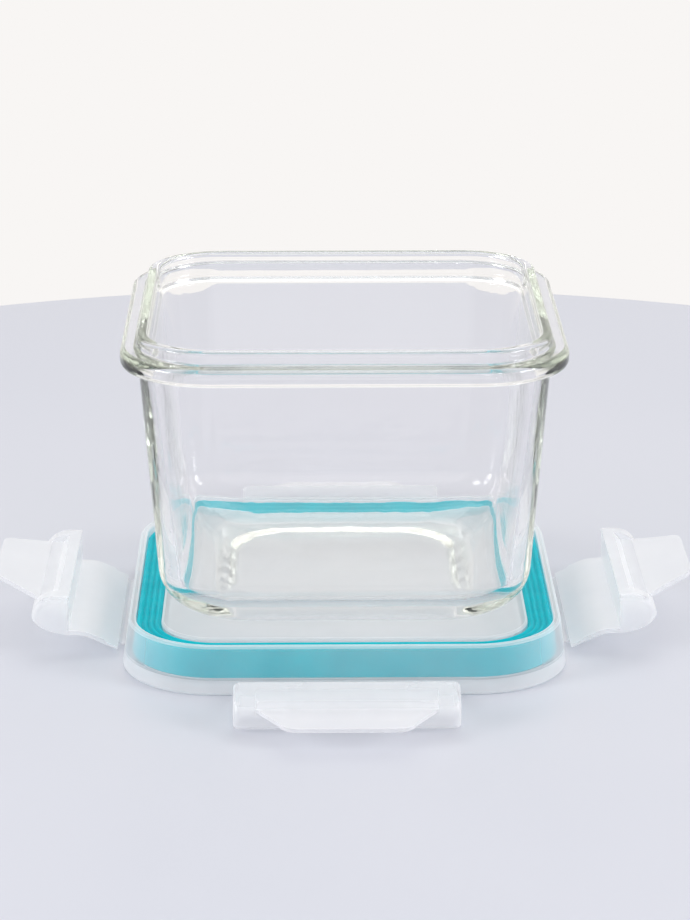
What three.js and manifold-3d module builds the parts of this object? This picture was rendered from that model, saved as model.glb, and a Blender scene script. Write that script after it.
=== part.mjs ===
// Square glass food container with a four-flap locking lid.
// The lid lies upside down on the table and the open bowl stands on its inner face, flaps spread.
// Millimetres, +Z up, origin on the table under the middle of the lid, -Y towards the front.

import * as THREE from 'three';
import { mergeVertices } from 'three/addons/utils/BufferGeometryUtils.js';
import Module from 'manifold-3d';

const wasm = await Module();
wasm.setup();

// Plan: every outline is a rounded square on the same corner centres.
const CORNER_CENTRE = 37.5;
const FIT_GAP = 0.3;

// Facets: steps round a plan corner, a small edge, a broad curve, a flap's bend and a seal ridge.
const CORNER_STEPS = 10;
const EDGE_STEPS = 4;
const CURVE_STEPS = 9;
const BEND_STEPS = 4;
const RIDGE_STEPS = 4;

// Lid moulding, measured from its outer face, which is on the table.
const LID_HALF_WIDTH = 65.6;
const LID_HEIGHT = 14.5;
const LID_EDGE_ROUND = 1.2;
const SKIRT_LEAN = 2.1;
const RIM_WIDTH = 2.2;
const RIM_ROUND = 0.7;
const CHANNEL_FLOOR = 4.1;
const LID_WALL = 1.8;
const FOOT_BEAD_WIDTH = 3.4;
const PANEL_HEIGHT = 13.4;
const PANEL_EDGE_ROUND = 0.8;

// Silicone seal in the lid's channel.
const SEAL_WIDTH = 7.0;
const SEAL_HEIGHT = 8.2;
const SEAL_RIDGES = 4;
const SEAL_RIDGE_HEIGHT = 0.6;
const SEAL_SQUEEZE = 1.2;

// Pressed glass bowl.
const BOWL_HEIGHT = 87.4;
const BOWL_DRAFT = 4.5;
const BOTTOM_ROUND = 17.5;
const GLASS_WALL = 3.4;
const GLASS_FLOOR = 5.0;
const FOOT_RING_WIDTH = 4.0;
const FOOT_RING_DEPTH = 0.8;
const FLANGE_OVERHANG = 5.2;
const FLANGE_THICKNESS = 5.4;
const FLANGE_ROUND = 1.9;
const LIP_HEIGHT = 4.1;
const LIP_WIDTH = 3.8;
const LIP_ROUND = 1.3;
const NECK_ROUND = 1.0;

// Locking flaps with their thin film hinges.
const HINGE_HEIGHT = 1.9;
const FILM_LENGTH = 1.6;
const FILM_THICKNESS = 0.5;
const FILM_INSET = 4.0;
const FLAP_WIDTH = 63.8;
const FLAP_THICKNESS = 1.3;
const FLAP_ROOT_LENGTH = 4.6;
const FLAP_ROOT_THICKNESS = 0.8;
const FLAP_BEND_AT = 11.8;
const FLAP_BEND_LENGTH = 5.0;
const FLAP_FLARE = 23.0;
const CLOSED_ANGLE = 86.0;
const LATCH_CLEARANCE = 0.3;
const CREST_WIDTH = 3.4;
const CREST_ROUND = 0.8;
const BLOCK_LENGTH = 11.1;
const BLOCK_END_ROUND = 2.0;
const NOSE_HEIGHT = 4.5;
const POCKET_WALL = 1.4;
const POCKET_RIB_SPACING = 31.2;
const RAMP_LENGTH = 2.0;
const VALLEY_DEPTH = 2.4;
const VALLEY_LENGTH = 3.6;
const TAB_REACH = 23.1;
const TAB_RISE = 16.0;
const TAB_THICKNESS = 1.3;
const TAB_WIDTH = 51.0;
const TAB_TIP_WIDTH = 35.2;
const TAB_TIP_ROUND = 4.2;

// Rest pose: angle of each flap's root above the table.
const SIDE_FLAP_ANGLE = 25.0;
const END_FLAP_ANGLE = 6.5;

const rad = THREE.MathUtils.degToRad;

// Materials: clear glass, milky polypropylene and teal silicone.
function glass() {
  return new THREE.MeshStandardMaterial({
    color: 0xe8f0ea,
    roughness: 0.05,
    metalness: 0,
    transparent: true,
    opacity: 0.35,
  });
}

function milkyPlastic() {
  return new THREE.MeshStandardMaterial({ color: 0xe6e8f0, roughness: 0.38, metalness: 0 });
}

function tealSilicone() {
  return new THREE.MeshStandardMaterial({ color: 0x0aa5b4, roughness: 0.5, metalness: 0 });
}

// A round stretch of a section: centre, radius and the angles it runs between, in degrees.
function arc(centreA, centreZ, radius, from, to, steps = EDGE_STEPS) {
  return Array.from({ length: steps + 1 }, (_, i) => {
    const angle = rad(from + ((to - from) * i) / steps);
    return [centreA + radius * Math.cos(angle), centreZ + radius * Math.sin(angle)];
  });
}

// Rounded square of half width a on the shared corner centres, with a least corner radius.
function roundedSquare(a, leastRadius) {
  const radius = Math.max(a - CORNER_CENTRE, leastRadius);
  const centre = a - radius;
  const points = [];
  for (let quarter = 0; quarter < 4; quarter += 1) {
    const turn = (quarter * Math.PI) / 2;
    for (let i = 0; i <= CORNER_STEPS; i += 1) {
      const angle = turn + (i / CORNER_STEPS) * (Math.PI / 2);
      const cornerX = centre * Math.SQRT2 * Math.cos(turn + Math.PI / 4);
      const cornerY = centre * Math.SQRT2 * Math.sin(turn + Math.PI / 4);
      points.push([cornerX + radius * Math.cos(angle), cornerY + radius * Math.sin(angle)]);
    }
  }
  return points;
}

// Skins a row of rings with equal point counts. The row closes on itself or is capped at both ends.
function skin(rings, closed) {
  const count = rings[0].length;
  const positions = rings.flat(2);
  const index = [];
  const joins = closed ? rings.length : rings.length - 1;
  for (let k = 0; k < joins; k += 1) {
    const low = k * count;
    const high = ((k + 1) % rings.length) * count;
    for (let i = 0; i < count; i += 1) {
      const next = (i + 1) % count;
      index.push(low + i, high + next, high + i, low + i, low + next, high + next);
    }
  }
  if (!closed) {
    for (const [end, flip] of [[0, false], [rings.length - 1, true]]) {
      const middle = positions.length / 3;
      const mean = (axis) => rings[end].reduce((sum, point) => sum + point[axis], 0) / count;
      positions.push(mean(0), mean(1), mean(2));
      for (let i = 0; i < count; i += 1) {
        const here = end * count + i;
        const next = end * count + ((i + 1) % count);
        index.push(middle, flip ? here : next, flip ? next : here);
      }
    }
  }
  const geometry = new THREE.BufferGeometry();
  geometry.setAttribute('position', new THREE.Float32BufferAttribute(positions, 3));
  geometry.setIndex(index);
  return facingOut(geometry);
}

// Sweeps a section of [half width, height] points round the rounded square.
// A ring's section closes on itself; a dish's section is capped in the middle at both ends.
function sweepSection(section, { ring, leastRadius }) {
  const rings = section.map(([a, z]) => roundedSquare(a, leastRadius).map(([x, y]) => [x, y, z]));
  return skin(rings, ring);
}

function signedVolume(geometry) {
  const position = geometry.getAttribute('position');
  const index = geometry.getIndex();
  const corner = (i) => new THREE.Vector3().fromBufferAttribute(position, index.getX(i));
  let sum = 0;
  for (let i = 0; i < index.count; i += 3) {
    sum += corner(i).dot(corner(i + 1).cross(corner(i + 2)));
  }
  return sum / 6;
}

// Turns a closed surface so that its faces point outwards.
function facingOut(geometry) {
  if (signedVolume(geometry) < 0) {
    const index = Array.from(geometry.getIndex().array);
    for (let i = 0; i < index.length; i += 3) {
      [index[i + 1], index[i + 2]] = [index[i + 2], index[i + 1]];
    }
    geometry.setIndex(index);
  }
  geometry.computeVertexNormals();
  return geometry;
}

// Solids for joining and cutting.
function solid(geometry) {
  const bare = geometry.clone();
  bare.deleteAttribute('normal');
  bare.deleteAttribute('uv');
  const merged = mergeVertices(bare, 1e-4);
  return new wasm.Manifold(new wasm.Mesh({
    numProp: 3,
    vertProperties: new Float32Array(merged.getAttribute('position').array),
    triVerts: new Uint32Array(merged.getIndex().array),
  }));
}

function geometryOf(manifold) {
  const mesh = manifold.getMesh();
  const geometry = new THREE.BufferGeometry();
  geometry.setAttribute('position', new THREE.Float32BufferAttribute(mesh.vertProperties, 3));
  geometry.setIndex(Array.from(mesh.triVerts));
  geometry.computeVertexNormals();
  return geometry;
}

function shapeOf(points) {
  return new THREE.Shape(points.map(([x, y]) => new THREE.Vector2(x, y)));
}

// A side profile in (out, up) drawn out along the hinge to a given width, centred on it.
function alongHinge(points, width) {
  const geometry = new THREE.ExtrudeGeometry(shapeOf(points), { depth: width, bevelEnabled: false });
  geometry.rotateX(Math.PI / 2);
  geometry.translate(0, width / 2, 0);
  return geometry;
}

// A plan outline in (out, along the hinge) drawn upwards through the whole flap.
function throughFlap(shape, reach) {
  const options = { depth: 2 * reach, bevelEnabled: false, curveSegments: CORNER_STEPS };
  const geometry = new THREE.ExtrudeGeometry(shape, options);
  geometry.translate(0, 0, -reach);
  return geometry;
}

// Levels and half widths that pieces share.
const rimHalfWidth = LID_HALF_WIDTH - SKIRT_LEAN;
const channelTopHalfWidth = rimHalfWidth - RIM_WIDTH;
const skirtSlope = SKIRT_LEAN / LID_HEIGHT;
const channelFloorHalfWidth = channelTopHalfWidth + skirtSlope * (LID_HEIGHT - CHANNEL_FLOOR);
const sealTop = CHANNEL_FLOOR + FIT_GAP + SEAL_HEIGHT;
const sealTopOuter = channelTopHalfWidth + skirtSlope * (LID_HEIGHT - sealTop) - FIT_GAP;
const sealBottomOuter = channelFloorHalfWidth - FIT_GAP;
const sealInner = sealTopOuter - SEAL_WIDTH;
const panelHalfWidth = sealInner - FIT_GAP;
const hingeHalfWidth = LID_HALF_WIDTH - skirtSlope * HINGE_HEIGHT + FIT_GAP + FILM_LENGTH / 2;

// Lid: skirt, seal channel, raised inner panel and the bead that it lies on.
function lidSection() {
  const recessHalfWidth = panelHalfWidth - LID_WALL;
  const channelUnderside = CHANNEL_FLOOR - LID_WALL;
  const beadHalfWidth = LID_HALF_WIDTH - FOOT_BEAD_WIDTH;
  const skirtFoot = LID_HALF_WIDTH - skirtSlope * LID_EDGE_ROUND;
  return [
    [panelHalfWidth / 2, PANEL_HEIGHT],
    ...arc(panelHalfWidth - PANEL_EDGE_ROUND, PANEL_HEIGHT - PANEL_EDGE_ROUND, PANEL_EDGE_ROUND, 90, 0),
    [panelHalfWidth, CHANNEL_FLOOR],
    [channelFloorHalfWidth, CHANNEL_FLOOR],
    ...arc(channelTopHalfWidth + RIM_ROUND, LID_HEIGHT - RIM_ROUND, RIM_ROUND, 180, 90),
    ...arc(rimHalfWidth - RIM_ROUND, LID_HEIGHT - RIM_ROUND, RIM_ROUND, 90, 0),
    ...arc(skirtFoot - LID_EDGE_ROUND, LID_EDGE_ROUND, LID_EDGE_ROUND, 0, -90),
    [beadHalfWidth, 0],
    [beadHalfWidth, channelUnderside],
    [recessHalfWidth, channelUnderside],
    [recessHalfWidth, PANEL_HEIGHT - LID_WALL],
    [panelHalfWidth / 2, PANEL_HEIGHT - LID_WALL],
  ];
}

// Seal: a silicone strip with fine ridges that the bowl's lip presses into.
function sealSection() {
  const ridgeWidth = SEAL_WIDTH / SEAL_RIDGES;
  const ridges = Array.from({ length: SEAL_RIDGES * RIDGE_STEPS + 1 }, (_, i) => {
    const drop = (SEAL_RIDGE_HEIGHT * (1 + Math.cos((i / RIDGE_STEPS) * 2 * Math.PI))) / 2;
    return [sealInner + (i / RIDGE_STEPS) * ridgeWidth, sealTop - drop];
  });
  return [[sealInner, CHANNEL_FLOOR + FIT_GAP], ...ridges, [sealBottomOuter, CHANNEL_FLOOR + FIT_GAP]];
}

// Bowl: the lip stands over the middle of the seal, so its size follows the lid's channel.
const bowlBottom = PANEL_HEIGHT + FIT_GAP;
const bowlTop = bowlBottom + BOWL_HEIGHT;
const lipOuter = sealTopOuter - (SEAL_WIDTH - LIP_WIDTH) / 2;
const lipInner = lipOuter - LIP_WIDTH;
const flangeTop = bowlTop - LIP_HEIGHT;
const flangeUnderside = flangeTop - FLANGE_THICKNESS;
const wallTopOuter = lipInner + GLASS_WALL;
const flangeHalfWidth = wallTopOuter + FLANGE_OVERHANG;
const draftSlope = Math.tan(rad(BOWL_DRAFT));
const roundTop = bowlBottom + BOTTOM_ROUND;
const wallFootOuter = wallTopOuter - (flangeUnderside - roundTop) * draftSlope;
const baseHalfWidth = wallFootOuter - BOTTOM_ROUND;
const leastCorner = Math.max(wallFootOuter - CORNER_CENTRE, GLASS_WALL);

function bowlSection() {
  const ringInner = baseHalfWidth - FOOT_RING_WIDTH;
  const floorTop = bowlBottom + GLASS_FLOOR;
  const innerRound = BOTTOM_ROUND - GLASS_WALL;
  const innerRoundTop = floorTop + innerRound;
  const wallFootInner = lipInner - (flangeTop - innerRoundTop) * draftSlope;
  return [
    [ringInner - FOOT_RING_DEPTH, bowlBottom + FOOT_RING_DEPTH],
    [ringInner, bowlBottom],
    ...arc(baseHalfWidth, roundTop, BOTTOM_ROUND, -90, -BOWL_DRAFT, CURVE_STEPS),
    ...arc(wallTopOuter + NECK_ROUND, flangeUnderside - NECK_ROUND, NECK_ROUND, 180 - BOWL_DRAFT, 90),
    ...arc(flangeHalfWidth - FLANGE_ROUND, flangeUnderside + FLANGE_ROUND, FLANGE_ROUND, -90, 0),
    ...arc(flangeHalfWidth - FLANGE_ROUND, flangeTop - FLANGE_ROUND, FLANGE_ROUND, 0, 90),
    ...arc(lipOuter + NECK_ROUND, flangeTop + NECK_ROUND, NECK_ROUND, 270, 180),
    ...arc(lipOuter - LIP_ROUND, bowlTop - LIP_ROUND, LIP_ROUND, 0, 90),
    ...arc(lipInner + LIP_ROUND, bowlTop - LIP_ROUND, LIP_ROUND, 90, 180),
    [lipInner, flangeTop],
    ...arc(wallFootInner - innerRound, innerRoundTop, innerRound, -BOWL_DRAFT, -90, CURVE_STEPS),
  ];
}

// Flap frame: the hinge axis is along Y, +X runs out along the flap's root and +Z is its inner face.
// The plate's middle line bends outwards by the flare over a short arc.
const bendStart = FLAP_BEND_AT - FLAP_BEND_LENGTH / 2;
const bendEnd = FLAP_BEND_AT + FLAP_BEND_LENGTH / 2;
const bendRadius = FLAP_BEND_LENGTH / rad(FLAP_FLARE);
const flareCos = Math.cos(rad(FLAP_FLARE));
const flareSin = Math.sin(rad(FLAP_FLARE));
const halfPlate = FLAP_THICKNESS / 2;

function onFlap(distance, height) {
  const turned = rad(FLAP_FLARE) * THREE.MathUtils.clamp((distance - bendStart) / FLAP_BEND_LENGTH, 0, 1);
  const before = Math.min(distance, bendStart);
  const after = Math.max(distance - bendEnd, 0);
  const x = before + bendRadius * Math.sin(turned) + after * Math.cos(turned);
  const z = -bendRadius * (1 - Math.cos(turned)) - after * Math.sin(turned);
  return [x + height * Math.sin(turned), z + height * Math.cos(turned)];
}

function bendStations(height) {
  return Array.from({ length: BEND_STEPS + 1 }, (_, i) => {
    return onFlap(bendStart + (i / BEND_STEPS) * FLAP_BEND_LENGTH, height);
  });
}

// With the lid on the bowl the flap stands along the skirt and its latch block reaches under the flange.
// The latch face clears the flange's rounded edge and the crest clears the bowl's wall.
const closedCos = Math.cos(rad(CLOSED_ANGLE));
const closedSin = Math.sin(rad(CLOSED_ANGLE));
const flangeLevel = sealTop - SEAL_SQUEEZE + LIP_HEIGHT + FLANGE_THICKNESS - HINGE_HEIGHT;
const edgeOut = flangeHalfWidth - FLANGE_ROUND - hingeHalfWidth;
const edgeUp = flangeLevel - FLANGE_ROUND;
const edgeAlongRoot = edgeOut * closedCos + edgeUp * closedSin;
const edgeOverRoot = edgeUp * closedCos - edgeOut * closedSin;
const [bendOut, bendUp] = onFlap(bendEnd, 0);
const edgeAt = bendEnd + (edgeAlongRoot - bendOut) * flareCos - (edgeOverRoot - bendUp) * flareSin;
const latchAt = edgeAt + FLANGE_ROUND + LATCH_CLEARANCE;
const [latchOut, latchUp] = onFlap(latchAt, 0);
const latchHalfWidth = hingeHalfWidth + latchOut * closedCos - latchUp * closedSin;
const crestReach = latchHalfWidth - wallTopOuter - LATCH_CLEARANCE;
const crestHeight = crestReach / Math.sin(rad(CLOSED_ANGLE - FLAP_FLARE));

// Stations along the flap beyond the latch face.
const crestEnd = latchAt + CREST_WIDTH;
const blockEnd = latchAt + BLOCK_LENGTH;
const valleyStart = crestEnd + RAMP_LENGTH;
const valleyHeight = crestHeight - VALLEY_DEPTH;
const tabStart = valleyStart + VALLEY_LENGTH;
const tabEnd = latchAt + TAB_REACH;

// Side outline of the latch block: flat latch face, crest, and a nose rounded above and below.
function blockOutline(inset) {
  const noseLength = BLOCK_LENGTH - inset;
  const top = crestHeight - inset;
  const angles = Array.from({ length: CURVE_STEPS + 1 }, (_, i) => (i / CURVE_STEPS) * (Math.PI / 2));
  const under = angles.map((angle) => [
    latchAt + noseLength * Math.sin(angle),
    NOSE_HEIGHT - (NOSE_HEIGHT + halfPlate) * Math.cos(angle),
  ]);
  const over = angles.slice(1).map((angle) => [
    crestEnd + (noseLength - CREST_WIDTH) * Math.cos(angle),
    NOSE_HEIGHT + (top - NOSE_HEIGHT) * Math.sin(angle),
  ]);
  const innerEdge = arc(latchAt + CREST_ROUND, top - CREST_ROUND, CREST_ROUND, 90, 180);
  return [...under, ...over, ...innerEdge].map(([distance, height]) => onFlap(distance, height));
}

// The block runs across the whole flap and is rounded off at both ends.
function blockGeometry() {
  const ends = Array.from({ length: EDGE_STEPS + 1 }, (_, i) => {
    const angle = (i / EDGE_STEPS) * (Math.PI / 2);
    const along = FLAP_WIDTH / 2 - BLOCK_END_ROUND * (1 - Math.sin(angle));
    return { along, inset: BLOCK_END_ROUND * (1 - Math.cos(angle)) };
  });
  const nearEnds = ends.map(({ along, inset }) => ({ along: -along, inset })).reverse();
  const rings = [...nearEnds, ...ends].map(({ along, inset }) => {
    return blockOutline(inset).map(([x, z]) => [x, along, z]);
  });
  return skin(rings, false);
}

// Plan of the finger tab: as wide as the valley, then tapering to a rounded tip.
function tabPlan() {
  const root = TAB_WIDTH / 2;
  const tip = TAB_TIP_WIDTH / 2;
  const from = onFlap(crestEnd, valleyHeight)[0];
  const taper = onFlap(tabStart, valleyHeight)[0];
  const end = onFlap(tabEnd, tabHeight(tabEnd))[0];
  const shoulder = tip + ((root - tip) * TAB_TIP_ROUND) / (end - taper);
  const shape = new THREE.Shape();
  shape.moveTo(from, -root);
  shape.lineTo(taper, -root);
  shape.lineTo(end - TAB_TIP_ROUND, -shoulder);
  shape.quadraticCurveTo(end, -tip, end, TAB_TIP_ROUND - tip);
  shape.lineTo(end, tip - TAB_TIP_ROUND);
  shape.quadraticCurveTo(end, tip, end - TAB_TIP_ROUND, shoulder);
  shape.lineTo(taper, root);
  shape.lineTo(from, root);
  return shape;
}

function tabHeight(distance) {
  return valleyHeight + (distance - tabStart) * Math.tan(rad(TAB_RISE));
}

// The block is cored out from the outer face in three pockets between two cross ribs.
function pockets() {
  const floor = valleyHeight - POCKET_WALL;
  const profile = [
    onFlap(latchAt + POCKET_WALL, -BLOCK_LENGTH),
    onFlap(blockEnd - 2 * POCKET_WALL, -BLOCK_LENGTH),
    onFlap(blockEnd - 2 * POCKET_WALL, 0),
    onFlap(blockEnd - POCKET_WALL, NOSE_HEIGHT),
    onFlap(blockEnd - 2 * POCKET_WALL, floor),
    onFlap(latchAt + POCKET_WALL, floor),
  ];
  const ribInner = (POCKET_RIB_SPACING - POCKET_WALL) / 2;
  const ribOuter = ribInner + POCKET_WALL;
  const sideWidth = FLAP_WIDTH / 2 - BLOCK_END_ROUND - ribOuter;
  const sideMiddle = ribOuter + sideWidth / 2;
  const side = solid(alongHinge(profile, sideWidth));
  return solid(alongHinge(profile, 2 * ribInner))
    .add(side.translate([0, sideMiddle, 0]))
    .add(side.translate([0, -sideMiddle, 0]));
}

function flapGeometry() {
  const start = FILM_LENGTH / 2 + FIT_GAP;
  const rootTop = FLAP_ROOT_THICKNESS - halfPlate;
  const tabReach = tabEnd + TAB_TIP_ROUND;
  const plate = solid(alongHinge([
    onFlap(start, -halfPlate),
    ...bendStations(-halfPlate),
    onFlap(latchAt, -halfPlate),
    onFlap(latchAt + POCKET_WALL / 2, 0),
    onFlap(latchAt, halfPlate),
    ...bendStations(halfPlate).reverse(),
    onFlap(FLAP_ROOT_LENGTH + FLAP_THICKNESS, halfPlate),
    onFlap(FLAP_ROOT_LENGTH, rootTop),
    onFlap(start, rootTop),
  ], FLAP_WIDTH));
  const valley = solid(alongHinge([
    onFlap(crestEnd, crestHeight),
    onFlap(valleyStart, valleyHeight),
    onFlap(tabReach, valleyHeight),
    onFlap(tabReach, 2 * crestHeight),
    onFlap(crestEnd, 2 * crestHeight),
  ], TAB_WIDTH));
  const tab = solid(alongHinge([
    onFlap(crestEnd, valleyHeight - TAB_THICKNESS),
    onFlap(tabStart, valleyHeight - TAB_THICKNESS),
    onFlap(tabReach, tabHeight(tabReach) - TAB_THICKNESS),
    onFlap(tabReach, tabHeight(tabReach)),
    onFlap(tabStart, valleyHeight),
    onFlap(crestEnd, valleyHeight),
  ], FLAP_WIDTH)).intersect(solid(throughFlap(tabPlan(), tabReach)));
  const block = solid(blockGeometry()).subtract(valley).subtract(pockets());
  return geometryOf(plate.add(block).add(tab));
}

// Film hinge: a thin strip, half of it level with the lid and half turned with the flap.
function filmGeometry(angle) {
  const half = FILM_LENGTH / 2;
  const lift = FILM_THICKNESS / 2;
  const bisector = rad(angle) / 2;
  const mitre = lift / Math.cos(bisector);
  const edge = (side) => [
    [-half, side * lift],
    [-side * mitre * Math.sin(bisector), side * mitre * Math.cos(bisector)],
    [
      half * Math.cos(rad(angle)) - side * lift * Math.sin(rad(angle)),
      half * Math.sin(rad(angle)) + side * lift * Math.cos(rad(angle)),
    ],
  ];
  return alongHinge([...edge(-1), ...edge(1).reverse()], FLAP_WIDTH - 2 * FILM_INSET);
}

function named(name, geometry, material) {
  const mesh = new THREE.Mesh(geometry, material);
  mesh.name = name;
  return mesh;
}

const container = new THREE.Group();
const lidShape = sweepSection(lidSection(), { ring: false, leastRadius: LID_WALL });
const sealShape = sweepSection(sealSection(), { ring: true, leastRadius: LID_WALL });
const bowlShape = sweepSection(bowlSection(), { ring: false, leastRadius: leastCorner });
container.add(named('lid', lidShape, milkyPlastic()));
container.add(named('lid_seal', sealShape, tealSilicone()));
container.add(named('glass_bowl', bowlShape, glass()));

// The four flaps, each on its own film hinge at the middle of one side of the lid.
const flaps = [
  { side: 'right', turn: 0, angle: SIDE_FLAP_ANGLE },
  { side: 'rear', turn: 90, angle: END_FLAP_ANGLE },
  { side: 'left', turn: 180, angle: SIDE_FLAP_ANGLE },
  { side: 'front', turn: 270, angle: END_FLAP_ANGLE },
];
for (const { side, turn, angle } of flaps) {
  const hinge = new THREE.Group();
  hinge.rotation.z = rad(turn);
  const film = named(`${side}_hinge`, filmGeometry(angle), milkyPlastic());
  const flap = named(`${side}_flap`, flapGeometry(), milkyPlastic());
  film.position.set(hingeHalfWidth, 0, HINGE_HEIGHT);
  flap.position.set(hingeHalfWidth, 0, HINGE_HEIGHT);
  flap.rotation.y = -rad(angle);
  hinge.add(film, flap);
  container.add(hinge);
}

export default container;
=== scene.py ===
import math

import bmesh
import bpy
from mathutils import Matrix, Vector, noise
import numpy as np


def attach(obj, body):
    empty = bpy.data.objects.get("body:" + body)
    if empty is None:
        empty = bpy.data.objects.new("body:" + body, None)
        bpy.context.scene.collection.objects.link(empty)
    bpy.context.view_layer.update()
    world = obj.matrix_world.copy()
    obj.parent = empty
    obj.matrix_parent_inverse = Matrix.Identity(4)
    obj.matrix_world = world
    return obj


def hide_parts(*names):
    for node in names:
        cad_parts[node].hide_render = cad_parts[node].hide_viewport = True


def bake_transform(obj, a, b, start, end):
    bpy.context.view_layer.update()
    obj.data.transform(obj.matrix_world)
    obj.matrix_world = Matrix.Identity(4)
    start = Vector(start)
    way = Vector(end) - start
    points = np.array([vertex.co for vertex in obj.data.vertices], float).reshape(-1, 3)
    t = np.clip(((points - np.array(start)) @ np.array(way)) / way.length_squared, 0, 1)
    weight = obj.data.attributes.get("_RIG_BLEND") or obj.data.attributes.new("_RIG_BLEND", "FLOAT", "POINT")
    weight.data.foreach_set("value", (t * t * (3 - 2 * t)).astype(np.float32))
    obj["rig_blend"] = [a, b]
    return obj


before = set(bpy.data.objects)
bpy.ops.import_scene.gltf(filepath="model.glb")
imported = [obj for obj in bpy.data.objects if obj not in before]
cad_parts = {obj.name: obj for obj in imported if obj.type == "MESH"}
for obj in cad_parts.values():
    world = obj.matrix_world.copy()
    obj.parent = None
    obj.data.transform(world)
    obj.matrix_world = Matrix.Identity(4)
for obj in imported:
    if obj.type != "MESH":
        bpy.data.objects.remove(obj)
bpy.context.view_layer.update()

# Lid. One injection moulding in milky polypropylene: a leaning skirt with a rounded rim, a channel for
# the seal, a raised inner panel and a bead round the outer face. It lies upside down, flat on that bead.
MM = 0.001
CORNER_CENTRE = 37.5
CORNER_STEPS = 14


def start_outline(bm, half_width, height, corner, runs):
    bmesh.ops.create_grid(bm, x_segments=1, y_segments=1, size=half_width)
    bmesh.ops.bevel(
        bm,
        geom=bm.verts[:],
        offset=corner,
        segments=CORNER_STEPS,
        profile=0.5,
        affect="VERTICES",
        material=-1,
    )
    if runs:
        sides = [e for e in bm.edges if e.calc_length() > corner]
        bmesh.ops.subdivide_edges(bm, edges=sides, cuts=runs)
    bmesh.ops.translate(bm, verts=bm.verts[:], vec=(0, 0, height))
    return bm.edges[:]


def carry_outline(bm, ring, old, new, height):
    grown = bmesh.ops.extrude_edge_only(bm, edges=ring)["geom"]
    verts = [g for g in grown if isinstance(g, bmesh.types.BMVert)]
    old_centre, new_centre = old[0] - old[1], new[0] - new[1]
    for v in verts:
        for axis in (0, 1):
            out = abs(v.co[axis])
            if out > old_centre + 1e-6:
                moved = new_centre + (out - old_centre) * new[1] / old[1]
            else:
                moved = out * new_centre / old_centre
            v.co[axis] = math.copysign(moved, v.co[axis])
        v.co.z = height
    there = set(verts)
    return [g for g in grown if isinstance(g, bmesh.types.BMEdge) and there.issuperset(g.verts)]


def round_edges(bm, edges, rounding, segments, clamp, milkiness):
    milk = bm.faces.layers.float.get("milk") or bm.faces.layers.float.new("milk")
    rounded = bmesh.ops.bevel(
        bm,
        geom=edges,
        offset=rounding,
        segments=segments,
        profile=0.5,
        affect="EDGES",
        clamp_overlap=clamp,
        material=-1,
    )
    for face in rounded["faces"]:
        face[milk] = milkiness


def sweep_section(stations, corners, closed=False, runs=0):
    bm = bmesh.new()
    half, height, _ = stations[0]
    rings = [start_outline(bm, half, height, corners[0], runs)]
    if closed:
        bmesh.ops.delete(bm, geom=bm.faces[:], context="FACES_ONLY")
    for i in range(1, len(stations)):
        old, new = (stations[i - 1][0], corners[i - 1]), (stations[i][0], corners[i])
        rings.append(carry_outline(bm, rings[-1], old, new, stations[i][1]))
    if closed:
        bmesh.ops.bridge_loops(bm, edges=rings[-1] + rings[0])
    else:
        bmesh.ops.contextual_create(bm, geom=rings[-1])
    for ring, (_, _, rounding) in zip(rings, stations):
        if rounding:
            round_edges(bm, ring, rounding, segments=5, clamp=False, milkiness=0.5)
    bmesh.ops.recalc_face_normals(bm, faces=bm.faces[:])
    return bm


def shared_centres(stations):
    return [half - CORNER_CENTRE for half, _, _ in stations]


def moulded(name, bm, material, crease=50):
    bmesh.ops.scale(bm, verts=bm.verts[:], vec=(MM, MM, MM))
    mesh = bpy.data.meshes.new(name)
    bm.to_mesh(mesh)
    bm.free()
    mesh.shade_smooth()
    mesh.set_sharp_from_angle(angle=math.radians(crease))
    mesh.materials.append(material)
    piece = bpy.data.objects.new(name, mesh)
    bpy.context.scene.collection.objects.link(piece)
    evened = piece.modifiers.new("even_shading", "WEIGHTED_NORMAL")
    evened.keep_sharp = True
    return piece


def finish_of(name):
    material = bpy.data.materials.new(name)
    material.use_nodes = True
    tree = material.node_tree
    place = tree.nodes.new("ShaderNodeTexCoord").outputs["Object"]
    return material, tree, tree.nodes["Principled BSDF"], place


def cloudy(tree, place, scale, detail, low=0, high=1):
    cloud = tree.nodes.new("ShaderNodeTexNoise")
    cloud.inputs["Scale"].default_value = scale
    cloud.inputs["Detail"].default_value = detail
    tree.links.new(place, cloud.inputs["Vector"])
    level = tree.nodes.new("ShaderNodeMapRange")
    level.inputs["From Min"].default_value = 0.3
    level.inputs["From Max"].default_value = 0.7
    level.inputs["To Min"].default_value = low
    level.inputs["To Max"].default_value = high
    tree.links.new(cloud.outputs["Fac"], level.inputs["Value"])
    return level.outputs["Result"]


def two_tints(tree, mask, first, second, socket):
    blend = tree.nodes.new("ShaderNodeMix")
    blend.data_type = "RGBA"
    blend.inputs["A"].default_value = (*first, 1)
    blend.inputs["B"].default_value = (*second, 1)
    tree.links.new(mask, blend.inputs["Factor"])
    tree.links.new(blend.outputs["Result"], socket)


def skin_grain(tree, place, shader, scale, depth, strength):
    relief = tree.nodes.new("ShaderNodeBump")
    relief.inputs["Strength"].default_value = strength
    relief.inputs["Distance"].default_value = depth
    tree.links.new(cloudy(tree, place, scale, detail=3), relief.inputs["Height"])
    tree.links.new(relief.outputs["Normal"], shader.inputs["Normal"])


def summed(tree, operation, first, second):
    node = tree.nodes.new("ShaderNodeMath")
    node.operation = operation
    for socket, value in zip(node.inputs, (first, second)):
        if isinstance(value, bpy.types.NodeSocket):
            tree.links.new(value, socket)
        else:
            socket.default_value = value
    return node.outputs["Value"]


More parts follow.
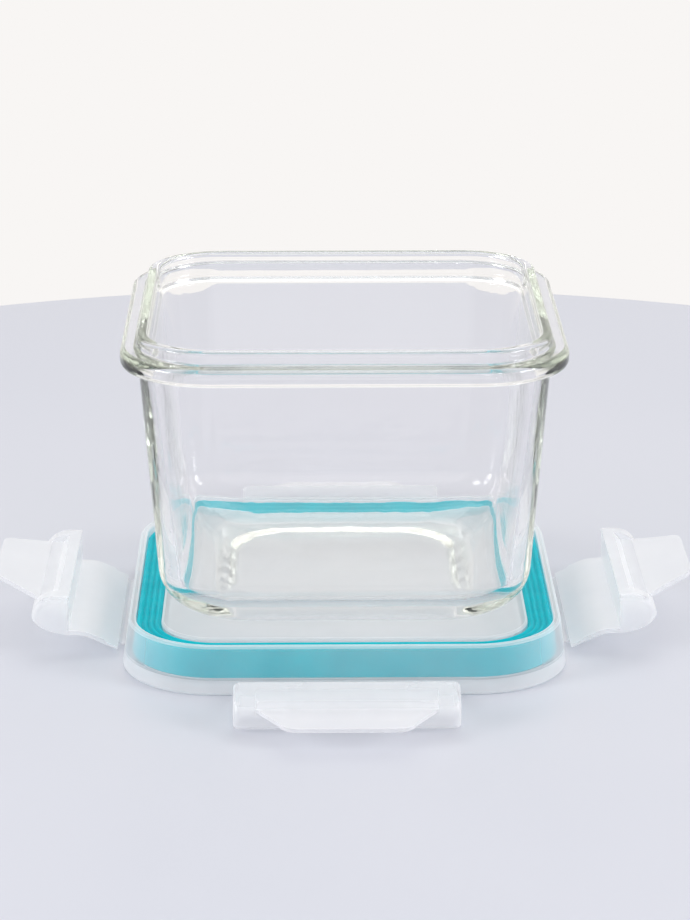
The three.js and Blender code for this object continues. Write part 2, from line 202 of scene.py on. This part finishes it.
def layered(tree, share, under, over):
    node = tree.nodes.new("ShaderNodeMixShader")
    if isinstance(share, bpy.types.NodeSocket):
        tree.links.new(share, node.inputs["Fac"])
    else:
        node.inputs["Fac"].default_value = share
    tree.links.new(under, node.inputs[1])
    tree.links.new(over, node.inputs[2])
    return node.outputs["Shader"]


EDGE_FALLOFF = 1.5
EDGE_HAZE = 0.45
THICK_HAZE = 0.6
GLOW_SHARE = 0.33

milky, tree, shader, place = finish_of("milky_polypropylene")
clouds = cloudy(tree, place, scale=55, detail=4)
two_tints(tree, clouds, (0.968, 0.969, 0.98), (0.993, 0.989, 0.99), shader.inputs["Base Color"])
tree.links.new(cloudy(tree, place, scale=300, detail=2, low=0.3, high=0.42), shader.inputs["Roughness"])
skin_grain(tree, place, shader, scale=1400, depth=0.0001, strength=0.25)
shader.inputs["IOR"].default_value = 1.49
shader.inputs["Specular IOR Level"].default_value = 0.0
glow = tree.nodes.new("ShaderNodeBsdfTranslucent")
glow.inputs["Color"].default_value = (0.99, 0.986, 0.99, 1)
clear = tree.nodes.new("ShaderNodeBsdfTransparent")
clear.inputs["Color"].default_value = (0.996, 0.998, 1.0, 1)
gloss = tree.nodes.new("ShaderNodeBsdfGlossy")
gloss.inputs["Color"].default_value = (1.0, 1.0, 1.0, 1)
gloss.inputs["Roughness"].default_value = 0.3
slant = tree.nodes.new("ShaderNodeLayerWeight")
slant.inputs["Blend"].default_value = 0.5
thick = tree.nodes.new("ShaderNodeAttribute")
thick.attribute_name = "milk"
sheen = tree.nodes.new("ShaderNodeFresnel")
sheen.inputs["IOR"].default_value = 1.4
skin = tree.nodes.new("ShaderNodeNewGeometry")
haze = summed(tree, "MULTIPLY", summed(tree, "POWER", slant.outputs["Facing"], EDGE_FALLOFF), EDGE_HAZE)
haze = summed(tree, "ADD", haze, cloudy(tree, place, scale=40, detail=3, low=0.08, high=0.13))
haze = summed(tree, "ADD", haze, summed(tree, "MULTIPLY", thick.outputs["Fac"], THICK_HAZE))
body = layered(tree, GLOW_SHARE, shader.outputs["BSDF"], glow.outputs["BSDF"])
body = layered(tree, haze, clear.outputs["BSDF"], body)
outer_face = summed(tree, "SUBTRACT", 1.0, skin.outputs["Backfacing"])
body = layered(tree, summed(tree, "MULTIPLY", sheen.outputs["Fac"], outer_face), body, gloss.outputs["BSDF"])
tree.links.new(body, tree.nodes["Material Output"].inputs["Surface"])

PANEL_HALF = 53.975
PANEL_TOP = 13.4
CHANNEL_HALF = 62.8
CHANNEL_FLOOR = 4.1
RIM_INNER = 61.3
RIM_OUTER = 63.5
RIM_TOP = 14.5
SKIRT_FOOT = 65.6
BEAD_INNER = 62.2
WEB_UNDER = 2.3
HOLLOW_HALF = 52.175
HOLLOW_TOP = 11.6
UPPER_FACES = 11
MILKY_FOOT = 4.7
MILKY_FADE = 5.5
FOOT_MILK = 0.9
FADE_MILK = 0.45
TOP_MILK = 0.1


def skirt_at(height):
    return SKIRT_FOOT + (RIM_OUTER - SKIRT_FOOT) * height / RIM_TOP


lid_section = [
    (PANEL_HALF, PANEL_TOP, 0.8),
    (PANEL_HALF, CHANNEL_FLOOR, 0.4),
    (CHANNEL_HALF, CHANNEL_FLOOR, 0.4),
    (RIM_INNER, RIM_TOP, 0.7),
    (RIM_OUTER, RIM_TOP, 0.7),
    (skirt_at(MILKY_FADE), MILKY_FADE, 0),
    (skirt_at(MILKY_FOOT), MILKY_FOOT, 0),
    (SKIRT_FOOT, 0.0, 1.2),
    (BEAD_INNER, 0.0, 0.4),
    (BEAD_INNER, WEB_UNDER, 0.3),
    (HOLLOW_HALF, WEB_UNDER, 0.4),
    (HOLLOW_HALF, HOLLOW_TOP, 0.6),
]
lid_mesh = sweep_section(lid_section, shared_centres(lid_section))
milk = lid_mesh.faces.layers.float["milk"]
for f in lid_mesh.faces:
    middle = f.calc_center_median()
    level = abs(f.normal.z) > 0.9
    if middle.z < MILKY_FOOT:
        f[milk] = FOOT_MILK
    elif middle.z < MILKY_FADE and not level:
        f[milk] = FADE_MILK
    elif middle.z > UPPER_FACES and level:
        f[milk] = max(f[milk], TOP_MILK)
lid = moulded("lid_moulding", lid_mesh, milky)
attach(lid, "lid")
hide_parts("lid")

# Seal. A strip of teal silicone moulded as one closed square ring and pressed into the lid's channel.
# Four fine ridges run round its upper face, where the bowl's lip beds in when the lid is on.
SEAL_INNER = 54.275
SEAL_OUTER = 61.275
SEAL_TOP = 12.6
SEAL_FOOT_HALF = 62.5
SEAL_UNDER = 4.4
SEAL_EDGE = 0.3
RIDGES = 4
RIDGE_STEPS = 8
RIDGE_HEIGHT = 0.6

teal, tree, shader, place = finish_of("teal_silicone_rubber")
clouds = cloudy(tree, place, scale=70, detail=3)
two_tints(tree, clouds, (0.001, 0.475, 0.56), (0.004, 0.555, 0.635), shader.inputs["Base Color"])
tree.links.new(cloudy(tree, place, scale=260, detail=3, low=0.42, high=0.55), shader.inputs["Roughness"])
skin_grain(tree, place, shader, scale=900, depth=0.0001, strength=0.2)
shader.inputs["Specular IOR Level"].default_value = 0.12
shader.inputs["Subsurface Weight"].default_value = 0.25
shader.inputs["Subsurface Radius"].default_value = (0.3, 1.0, 1.0)
shader.inputs["Subsurface Scale"].default_value = 0.001

ridge_points = RIDGES * RIDGE_STEPS
seal_section = [(SEAL_INNER, SEAL_UNDER, SEAL_EDGE)]
for step in range(ridge_points + 1):
    dip = RIDGE_HEIGHT * (1 + math.cos(2 * math.pi * step / RIDGE_STEPS)) / 2
    seal_section.append((SEAL_INNER + (SEAL_OUTER - SEAL_INNER) * step / ridge_points, SEAL_TOP - dip, 0))
seal_section.append((SEAL_FOOT_HALF, SEAL_UNDER, SEAL_EDGE))
seal_mesh = sweep_section(seal_section, shared_centres(seal_section), closed=True)
seal = moulded("seal_ring", seal_mesh, teal, crease=60)
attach(seal, "lid")
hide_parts("lid_seal")

# Bowl. Pressed soda-lime glass with a drafted wall, a deep rounded bottom, a heavy flange and an upright
# lip. The inside is faintly rippled from the plunger, the edges are fire polished, and it stands loose on
# the lid. The bends inside are tighter than the outside turn, with a flat bevel between them.
DRAFT = math.radians(4.5)
FOOT_HEIGHT = 13.7
RECESS_DEPTH = 0.8
RECESS_MIDDLE = 4.0
RECESS_HALF = 32.0
FOOT_HALF = 35.2
OUTSIDE_TURN = 17.5
WALL_FOOT_OUTER = 54.52
WALL_TOP_OUTER = 59.275
LEAST_CORNER = 17.02
FLANGE_LOW = 91.6
FLANGE_HALF = 64.475
FLANGE_TOP = 97.0
LIP_OUTER = 59.675
LIP_INNER = 55.875
LIP_TOP = 101.1
WALL_ROWS = 15
WALL_FOOT_INNER = 49.3
INSIDE_FLOOR = 17.3
INSIDE_BEND = 9.0
INSIDE_BEVEL = 7.0
BEVEL_SLOPE = math.radians(60)
INSIDE_CORNER = 13.0
CORNER_SHARE = 0.8
RIPPLE = 0.3
RIPPLE_END = 80
RIPPLE_WIDTH = 11
RIPPLE_LENGTH = 26


def turned_edge(centre, height, radius, first, last, steps):
    stations = []
    for step in range(steps + 1):
        angle = first + (last - first) * step / steps
        stations.append((centre + radius * math.cos(angle), height + radius * math.sin(angle), 0))
    return stations


glass, tree, shader, place = finish_of("pressed_clear_glass")
clouds = cloudy(tree, place, scale=30, detail=2)
two_tints(tree, clouds, (0.985, 0.979, 0.982), (1.0, 0.995, 1.0), shader.inputs["Base Color"])
tree.links.new(cloudy(tree, place, scale=90, detail=2, low=0.0, high=0.03), shader.inputs["Roughness"])
skin_grain(tree, place, shader, scale=60, depth=0.0004, strength=0.06)
shader.inputs["IOR"].default_value = 1.5
shader.inputs["Transmission Weight"].default_value = 1.0
tint = tree.nodes.new("ShaderNodeVolumeAbsorption")
tint.inputs["Color"].default_value = (0.46, 0.56, 0.34, 1)
tint.inputs["Density"].default_value = 3.2
tree.links.new(tint.outputs["Volume"], tree.nodes["Material Output"].inputs["Volume"])
path = tree.nodes.new("ShaderNodeLightPath")
lit_through = tree.nodes.new("ShaderNodeBsdfTransparent")
lit_through.inputs["Color"].default_value = (0.97, 0.98, 0.97, 1)
to_light = summed(tree, "MAXIMUM", path.outputs["Is Shadow Ray"], path.outputs["Is Diffuse Ray"])
pane = layered(tree, to_light, shader.outputs["BSDF"], lit_through.outputs["BSDF"])
tree.links.new(pane, tree.nodes["Material Output"].inputs["Surface"])

down = -math.pi / 2
recess_top = FOOT_HEIGHT + RECESS_DEPTH
outside = [(RECESS_MIDDLE, recess_top, 0), (RECESS_HALF, recess_top, 0.9), (FOOT_HALF, FOOT_HEIGHT, 0.9)]
outside_turn = (WALL_FOOT_OUTER - OUTSIDE_TURN, FOOT_HEIGHT + OUTSIDE_TURN)
outside += turned_edge(*outside_turn, OUTSIDE_TURN, down, -DRAFT, steps=14)
outside += [
    (WALL_TOP_OUTER, FLANGE_LOW, 1.0),
    (FLANGE_HALF, FLANGE_LOW, 1.9),
    (FLANGE_HALF, FLANGE_TOP, 1.9),
    (LIP_OUTER, FLANGE_TOP, 1.0),
    (LIP_OUTER, LIP_TOP, 1.3),
]
corners = [max(half - CORNER_CENTRE, min(LEAST_CORNER, CORNER_SHARE * half)) for half, _, _ in outside]

bend_height = INSIDE_FLOOR + INSIDE_BEND
wall_turn = (WALL_FOOT_INNER - INSIDE_BEND, bend_height + INSIDE_BEVEL * math.cos(BEVEL_SLOPE))
floor_turn = (wall_turn[0] - INSIDE_BEVEL * math.sin(BEVEL_SLOPE), bend_height)
inside = [(LIP_INNER, LIP_TOP, 1.3)]
for step in range(WALL_ROWS + 1):
    share = step / WALL_ROWS
    half = LIP_INNER + (WALL_FOOT_INNER - LIP_INNER) * share
    inside.append((half, FLANGE_TOP + (wall_turn[1] - FLANGE_TOP) * share, 0))
inside += turned_edge(*wall_turn, INSIDE_BEND, -DRAFT, -BEVEL_SLOPE, steps=7)[1:]
inside += turned_edge(*floor_turn, INSIDE_BEND, -BEVEL_SLOPE, down, steps=5)
inside += [(half, INSIDE_FLOOR, 0) for half in range(33, 1, -4)]
lip_corner = LIP_INNER - CORNER_CENTRE
for half, height, _ in inside:
    rise = max(height - wall_turn[1], 0) / (LIP_TOP - wall_turn[1])
    corners.append(min(INSIDE_CORNER + (lip_corner - INSIDE_CORNER) * rise ** 3, CORNER_SHARE * half))

bowl_mesh = sweep_section(outside + inside, corners, runs=16)
bowl_mesh.normal_update()
for v in bowl_mesh.verts:
    faces_in = v.normal.z > -0.01 and v.normal.xy.dot(v.co.xy) < 2
    if faces_in and v.co.z < RIPPLE_END:
        spot = Vector((v.co.x / RIPPLE_WIDTH, v.co.y / RIPPLE_WIDTH, v.co.z / RIPPLE_LENGTH))
        v.co += v.normal * RIPPLE * (1 - v.co.z / RIPPLE_END) * noise.noise(spot)
bowl = moulded("glass_bowl_pressing", bowl_mesh, glass, crease=70)
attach(bowl, "bowl")
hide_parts("glass_bowl")

# Flaps. Four alike, moulded in one with the lid in the same polypropylene: a thin root, a plate that flares
# out, a latch block across the whole flap, cored out behind in three pockets, and a finger tab that rises
# from the block's valley.
HALF_PLATE = 0.65
ROOT_START = 1.1
ROOT_LENGTH = 4.6
ROOT_RAMP = 1.3
ROOT_TOP = 0.15
BEND_START = 9.3
BEND_END = 14.3
BEND_STEPS = 6
FLARE = math.radians(23)
LATCH = 16.56
CREST_HEIGHT = 11.06
CREST_END = 19.96
VALLEY_START = 21.96
VALLEY_HEIGHT = 8.66
VALLEY_END = 25.91
TAB_START = 25.56
TAB_UNDER_START = 26.9
TAB_THICK = 1.3
TAB_RISE = math.tan(math.radians(16))
TAB_END = 39.66
BLOCK_END = 27.66
NOSE_HEIGHT = 4.5
TIP_HALF = 13.4
TIP_PULL = 17.6
TIP_END = (18.98, 35.46)
LEAST_TAB = 0.1
EAR_START = 25.5
EAR_FLAT_END = 29.9
EAR_ROUND = 2
TAB_FLANK = [(21.5, 31.63), (24.5, 27.08), (EAR_START, TAB_START)]
RIB_INNER = 14.9
RIB_OUTER = 16.3
RIB_ZONE = (14, 17)
POCKET_SKIN = 1.4
MERGE = 0.004
SLACK = 0.01
SHARP_TURN = math.radians(32)
EDGE_ROUND = 0.4
EDGE_MILK = 1.2
RIB_MILK = 2
BLOCK_MILK = 0.4
PLATE_MILK = 0.75
HINGE_OUT = 66.4248
HINGE_HEIGHT = 1.9


def on_flap(distance, height):
    turned = FLARE * min(max((distance - BEND_START) / (BEND_END - BEND_START), 0), 1)
    radius = (BEND_END - BEND_START) / FLARE
    after = max(distance - BEND_END, 0)
    x = min(distance, BEND_START) + radius * math.sin(turned) + after * math.cos(turned)
    z = -radius * (1 - math.cos(turned)) - after * math.sin(turned)
    return x + height * math.sin(turned), z + height * math.cos(turned)


def nose_under(share, inset):
    angle = share * math.pi / 2
    out = LATCH + (BLOCK_END - LATCH - inset) * math.sin(angle)
    return out, NOSE_HEIGHT - (NOSE_HEIGHT + HALF_PLATE) * math.cos(angle)


def nose_over(degrees, inset):
    angle = math.radians(degrees)
    out = CREST_END + (BLOCK_END - CREST_END - inset) * math.cos(angle)
    return out, NOSE_HEIGHT + (CREST_HEIGHT - inset - NOSE_HEIGHT) * math.sin(angle)


def tab_top(distance):
    return VALLEY_HEIGHT + max(distance - TAB_START, 0) * TAB_RISE


plate_run = [ROOT_START, ROOT_LENGTH, ROOT_LENGTH + ROOT_RAMP]
plate_run += [BEND_START + (BEND_END - BEND_START) * i / BEND_STEPS for i in range(BEND_STEPS + 1)]
nose_shares = [0.0805, 0.2, 0.35, 0.5, 0.6, 0.7, 0.8, 0.9, 1.0]
pocket_from = len(plate_run) + 1
pocket_to = pocket_from + 3


def flap_outline(reach, ear, inset):
    outline = [(d, -HALF_PLATE) for d in plate_run] + [(LATCH, -HALF_PLATE)]
    outline += [nose_under(share, inset) for share in nose_shares]
    outline += [nose_over(degrees, inset) for degrees in (10, 20, 28)]
    if ear:
        outline += [nose_over(degrees, inset) for degrees in (34, 40, 46, 52, 60, 75, 90)]
    elif reach > TAB_START + LEAST_TAB:
        middle = TAB_UNDER_START + (reach - TAB_UNDER_START) / 2
        outline += [(d, tab_top(d) - TAB_THICK) for d in (middle, reach)]
        outline += [(d, tab_top(d)) for d in (reach, middle, TAB_START, VALLEY_START)]
        outline += [(CREST_END, CREST_HEIGHT)]
    else:
        outline += [nose_over(degrees, inset) for degrees in (31, 34, 37)]
        outline += [(d, VALLEY_HEIGHT) for d in (VALLEY_END, TAB_START, VALLEY_START)]
        outline += [(CREST_END, CREST_HEIGHT)]
    outline += [(LATCH, CREST_HEIGHT - inset), (LATCH, HALF_PLATE)]
    outline += [(d, HALF_PLATE) for d in reversed(plate_run[3:])]
    outline += [(plate_run[2], HALF_PLATE), (plate_run[1], ROOT_TOP), (plate_run[0], ROOT_TOP)]
    return outline


def curve_at(t, first, pull, last):
    return first * (1 - t) ** 2 + 2 * pull * t * (1 - t) + last * t ** 2


tab_edge = [(0.0, TAB_END)]
for t in (0, 0.25, 0.5, 0.75, 1):
    tab_edge.append((curve_at(t, TIP_HALF, TIP_PULL, TIP_END[0]), curve_at(t, TAB_END, TAB_END, TIP_END[1])))
tab_edge += TAB_FLANK


def reach_at(across):
    for (before, low), (after, high) in zip(tab_edge, tab_edge[1:]):
        if before <= across <= after:
            return low + (high - low) * (across - before) / (after - before)


rib_sides = [(across, reach_at(across)) for across in (RIB_INNER, RIB_OUTER)]
stations = [(across, reach, False, 0) for across, reach in sorted(tab_edge + rib_sides)]
stations += [(EAR_START, 0, True, 0), (EAR_FLAT_END, 0, True, 0)]
for step in range(1, 6):
    angle = step / 5 * math.pi / 2
    side = EAR_FLAT_END + EAR_ROUND * math.sin(angle)
    stations.append((side, 0, True, EAR_ROUND * (1 - math.cos(angle))))
pockets = [(-EAR_FLAT_END, -RIB_OUTER), (-RIB_INNER, RIB_INNER), (RIB_OUTER, EAR_FLAT_END)]


def flap_mesh():
    bm = bmesh.new()
    order = bm.verts.layers.int.new("order")
    first = []
    for i, (d, h) in enumerate(flap_outline(*stations[0][1:])):
        x, z = on_flap(d, h)
        first.append(bm.verts.new((x, 0, z)))
        first[-1][order] = i
    ring = [bm.edges.new((a, b)) for a, b in zip(first, first[1:] + first[:1])]
    for across, reach, ear, inset in stations[1:]:
        outline = flap_outline(reach, ear, inset)
        grown = bmesh.ops.extrude_edge_only(bm, edges=ring)["geom"]
        verts = {g for g in grown if isinstance(g, bmesh.types.BMVert)}
        for v in verts:
            x, z = on_flap(*outline[v[order]])
            v.co = (x, across, z)
        ring = [g for g in grown if isinstance(g, bmesh.types.BMEdge) and verts.issuperset(g.verts)]
    bmesh.ops.contextual_create(bm, geom=ring)
    bmesh.ops.remove_doubles(bm, verts=bm.verts[:], dist=MERGE)
    bmesh.ops.mirror(bm, geom=bm.verts[:] + bm.edges[:] + bm.faces[:], axis="Y", merge_dist=MERGE)
    bmesh.ops.recalc_face_normals(bm, faces=bm.faces[:])
    for low, high in pockets:
        mouth = []
        for f in bm.faces:
            between = all(low - SLACK < v.co.y < high + SLACK for v in f.verts)
            if between and all(pocket_from <= v[order] <= pocket_to for v in f.verts):
                mouth.append(f)
        sunk = bmesh.ops.extrude_face_region(bm, geom=mouth)["geom"]
        bmesh.ops.delete(bm, geom=mouth, context="FACES")
        for v in sunk:
            if isinstance(v, bmesh.types.BMVert):
                distance = nose_under(nose_shares[v[order] - pocket_from], 0)[0]
                v.co.x, v.co.z = on_flap(distance, VALLEY_HEIGHT - POCKET_SKIN)
    bmesh.ops.recalc_face_normals(bm, faces=bm.faces[:])
    sharp = [e for e in bm.edges if len(e.link_faces) == 2 and e.calc_face_angle() > SHARP_TURN]
    round_edges(bm, sharp, EDGE_ROUND, segments=3, clamp=True, milkiness=EDGE_MILK)
    milk = bm.faces.layers.float["milk"]
    latch_face = on_flap(LATCH, 0)[0]
    tab_root = on_flap(TAB_START, VALLEY_HEIGHT)[0]
    for f in bm.faces:
        middle = f.calc_center_median()
        crown = f.normal.z > 0.5 and latch_face < middle.x < tab_root
        if abs(f.normal.y) > 0.9 and RIB_ZONE[0] < abs(middle.y) < RIB_ZONE[1]:
            f[milk] = RIB_MILK
        elif not f[milk] and not crown:
            f[milk] = BLOCK_MILK if middle.x > latch_face else PLATE_MILK
    return bm


def seat_of(turn):
    return Matrix.Rotation(math.radians(turn), 4, "Z") @ Matrix.Translation((HINGE_OUT, 0, HINGE_HEIGHT))


flap_turns = {"right": (0, 25), "rear": (90, 6.5), "left": (180, 25), "front": (270, 6.5)}
for side, (turn, lift) in flap_turns.items():
    bm = flap_mesh()
    lifted = Matrix.Rotation(-math.radians(lift), 4, "Y")
    bmesh.ops.transform(bm, matrix=seat_of(turn) @ lifted, verts=bm.verts[:])
    flap = moulded(f"{side}_locking_flap", bm, milky, crease=40)
    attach(flap, f"{side}_flap")
    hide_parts(f"{side}_flap")

# Film hinges. The thin webs between lid and flaps, part of the same moulding, thinnest in the middle where
# they bend. Each one is a short strip that joins the skirt to the flap's root and bends with it.
FILM_WIDTH = 55.8
FILM_REACH = 1.15
FILM_STEPS = 10
FILM_THIN = 0.22
FILM_SWELL = 0.16
FILM_EDGE = 0.08
BEND_REACH = 0.8

for side, (turn, lift) in flap_turns.items():
    bm = bmesh.new()
    tilt = math.radians(lift)
    section = []
    for face in (-1, 1):
        run = []
        for step in range(FILM_STEPS + 1):
            along = FILM_REACH * (2 * step / FILM_STEPS - 1)
            half_thick = FILM_THIN + FILM_SWELL * abs(along / FILM_REACH) ** 2
            bent = tilt * (0.5 + 0.5 * along / FILM_REACH)
            beyond = max(along, 0)
            x = min(along, 0) + beyond * math.cos(tilt)
            z = beyond * math.sin(tilt)
            run.append((x - face * half_thick * math.sin(bent), z + face * half_thick * math.cos(bent)))
        section += run if face < 0 else run[::-1]
    end = bm.faces.new([bm.verts.new((x, -FILM_WIDTH / 2, z)) for x, z in section])
    pulled = bmesh.ops.extrude_face_region(bm, geom=[end], use_keep_orig=True)["geom"]
    far_end = [g for g in pulled if isinstance(g, bmesh.types.BMVert)]
    bmesh.ops.translate(bm, verts=far_end, vec=(0, FILM_WIDTH, 0))
    bmesh.ops.recalc_face_normals(bm, faces=bm.faces[:])
    sharp = [e for e in bm.edges if e.calc_face_angle(0) > math.radians(50)]
    bmesh.ops.bevel(bm, geom=sharp, offset=FILM_EDGE, segments=2, profile=0.5, affect="EDGES", material=-1)
    seat = seat_of(turn)
    bmesh.ops.transform(bm, matrix=seat, verts=bm.verts[:])
    film = moulded(f"{side}_film_hinge", bm, milky, crease=40)
    film_start = seat @ Vector((-BEND_REACH, 0, 0)) * MM
    film_end = seat @ Vector((BEND_REACH * math.cos(tilt), 0, BEND_REACH * math.sin(tilt))) * MM
    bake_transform(film, "lid", f"{side}_flap", start=film_start, end=film_end)
    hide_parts(f"{side}_hinge")

# Table. A plain round top in pale lavender-grey lacquer, with a softly rounded edge behind the container.
# It is the stage and no part of the container.
TABLE_RADIUS = 377
TABLE_THICK = 24
TABLE_EDGE = 2.5
TABLE_PLACE = (2, 27)
TABLE_GAP = 0.02

tabletop, tree, shader, place = finish_of("pale_table_lacquer")
clouds = cloudy(tree, place, scale=6, detail=3)
two_tints(tree, clouds, (0.705, 0.715, 0.765), (0.73, 0.735, 0.78), shader.inputs["Base Color"])
tree.links.new(cloudy(tree, place, scale=12, detail=2, low=0.3, high=0.4), shader.inputs["Roughness"])
shader.inputs["Specular IOR Level"].default_value = 0.3
bm = bmesh.new()
bmesh.ops.create_cone(
    bm, cap_ends=True, segments=192, radius1=TABLE_RADIUS, radius2=TABLE_RADIUS, depth=TABLE_THICK
)
bmesh.ops.translate(bm, verts=bm.verts[:], vec=(*TABLE_PLACE, -TABLE_THICK / 2 - TABLE_GAP))
rims = [e for e in bm.edges if e.calc_face_angle(0) > math.radians(60)]
bmesh.ops.bevel(bm, geom=rims, offset=TABLE_EDGE, segments=4, profile=0.5, affect="EDGES", material=-1)
table = moulded("table_top", bm, tabletop)

# Light. A pale room all round, which camera, gloss and glass see a little brighter than it lights.
# A broad soft box hangs above and behind, two windows stand low at the sides for the glints in the glass,
# and a weak fill in front lifts the skirt.
world = bpy.data.worlds.new("pale_room")
bpy.context.scene.world = world
world.use_nodes = True
tree = world.node_tree
shown = tree.nodes.new("ShaderNodeBackground")
lighting = tree.nodes["Background"]
lighting.inputs["Color"].default_value = (0.93, 0.94, 1.0, 1)
lighting.inputs["Strength"].default_value = 0.6
direction = tree.nodes.new("ShaderNodeSeparateXYZ")
tree.links.new(tree.nodes.new("ShaderNodeTexCoord").outputs["Generated"], direction.inputs["Vector"])
depth = tree.nodes.new("ShaderNodeMapRange")
depth.inputs["From Min"].default_value = -0.9
depth.inputs["From Max"].default_value = 0.5
tree.links.new(direction.outputs["Y"], depth.inputs["Value"])
two_tints(tree, depth.outputs["Result"], (0.80, 0.80, 0.79), (0.94, 0.92, 0.905), shown.inputs["Color"])
path = tree.nodes.new("ShaderNodeLightPath")
seen = summed(tree, "MAXIMUM", path.outputs["Is Camera Ray"], path.outputs["Is Glossy Ray"])
seen = summed(tree, "MAXIMUM", seen, path.outputs["Is Transmission Ray"])
room = layered(tree, seen, lighting.outputs["Background"], shown.outputs["Background"])
tree.links.new(room, tree.nodes["World Output"].inputs["Surface"])


def soft_box(name, place, aim, width, power, tone):
    lamp = bpy.data.lights.new(name, "AREA")
    lamp.shape = "SQUARE"
    lamp.size = width
    lamp.energy = power
    lamp.color = tone
    box = bpy.data.objects.new(name, lamp)
    box.location = place
    box.rotation_euler = (Vector(aim) - Vector(place)).to_track_quat("-Z", "Y").to_euler()
    bpy.context.scene.collection.objects.link(box)


soft_box("overhead_soft_box", (0.1, 0.5, 1.0), (0, 0, 0.03), width=0.9, power=3.1, tone=(1, 0.99, 0.97))
soft_box("left_window", (-0.9, -0.45, 0.4), (0, 0, 0.05), width=0.34, power=4.1, tone=(0.97, 0.98, 1))
soft_box("right_window", (0.9, -0.45, 0.4), (0, 0, 0.05), width=0.34, power=3.9, tone=(0.97, 0.98, 1))
soft_box("front_fill", (0, -1.2, 0.15), (0, 0, 0.02), width=0.8, power=1.0, tone=(0.98, 0.98, 1))

# Camera. It stands where the photograph was taken from, above the rim and square to the front flap.
# The focal length is in pixels of the photograph, and light may bounce often enough to cross the glass.
FOCAL_PIXELS = 3200
PHOTO_HEIGHT = 920
SENSOR = 36
GLASS_BOUNCES = 32
DIFFUSE_BOUNCES = 8

camera = bpy.data.cameras.new("photo_camera")
camera.lens = FOCAL_PIXELS * SENSOR / PHOTO_HEIGHT
camera.sensor_width = SENSOR
camera.clip_start = 0.01
viewer = bpy.data.objects.new("photo_camera", camera)
viewer.location = (-0.010926, -0.921976, 0.342864)
aim = Vector((0.000566, 0, 0.050454))
viewer.rotation_euler = (aim - viewer.location).to_track_quat("-Z", "Y").to_euler()
bpy.context.scene.collection.objects.link(viewer)
bpy.context.scene.camera = viewer
bpy.context.scene.view_settings.view_transform = "Standard"
cycles = bpy.context.scene.cycles
cycles.max_bounces = GLASS_BOUNCES
cycles.glossy_bounces = GLASS_BOUNCES
cycles.diffuse_bounces = DIFFUSE_BOUNCES
cycles.transmission_bounces = GLASS_BOUNCES
cycles.transparent_max_bounces = GLASS_BOUNCES
